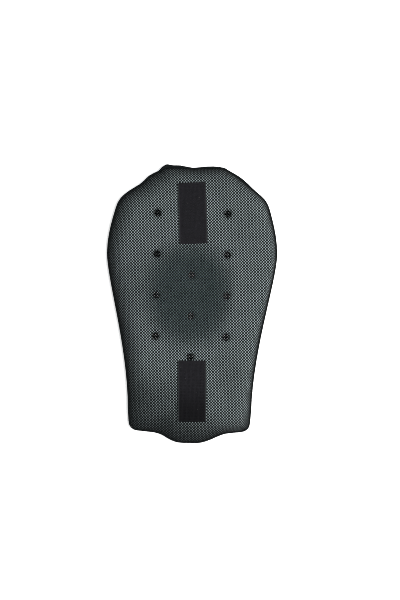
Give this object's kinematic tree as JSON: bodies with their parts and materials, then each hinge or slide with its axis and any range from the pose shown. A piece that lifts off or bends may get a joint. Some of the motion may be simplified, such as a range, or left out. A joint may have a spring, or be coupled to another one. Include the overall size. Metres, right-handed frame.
{
  "type": "back protector insert",
  "caption": "Soft back protector insert: a vented foam pad in a sewn mesh cover, with hook tape strips on its front face that hold it in a jacket's back pocket.",
  "frame": {"origin": "middle of the insert's plan, on the surface that it lies on", "axes": "+X across the pad, +Y towards the neck end, +Z out of the front face that carries the hook strips"},
  "size_m": [0.2434, 0.3979, 0.0219],
  "materials": {
    "foam": "matte closed-cell foam, light grey green",
    "mesh_fabric": "black knitted open mesh",
    "hook_tape": "black woven tape with moulded-in hooks"
  },
  "bodies": {
    "root": {"foam_core": "foam", "cover_front": "mesh_fabric", "cover_back": "mesh_fabric", "hook_strip_upper": "hook_tape", "hook_strip_lower": "hook_tape"}
  },
  "joints": []
}
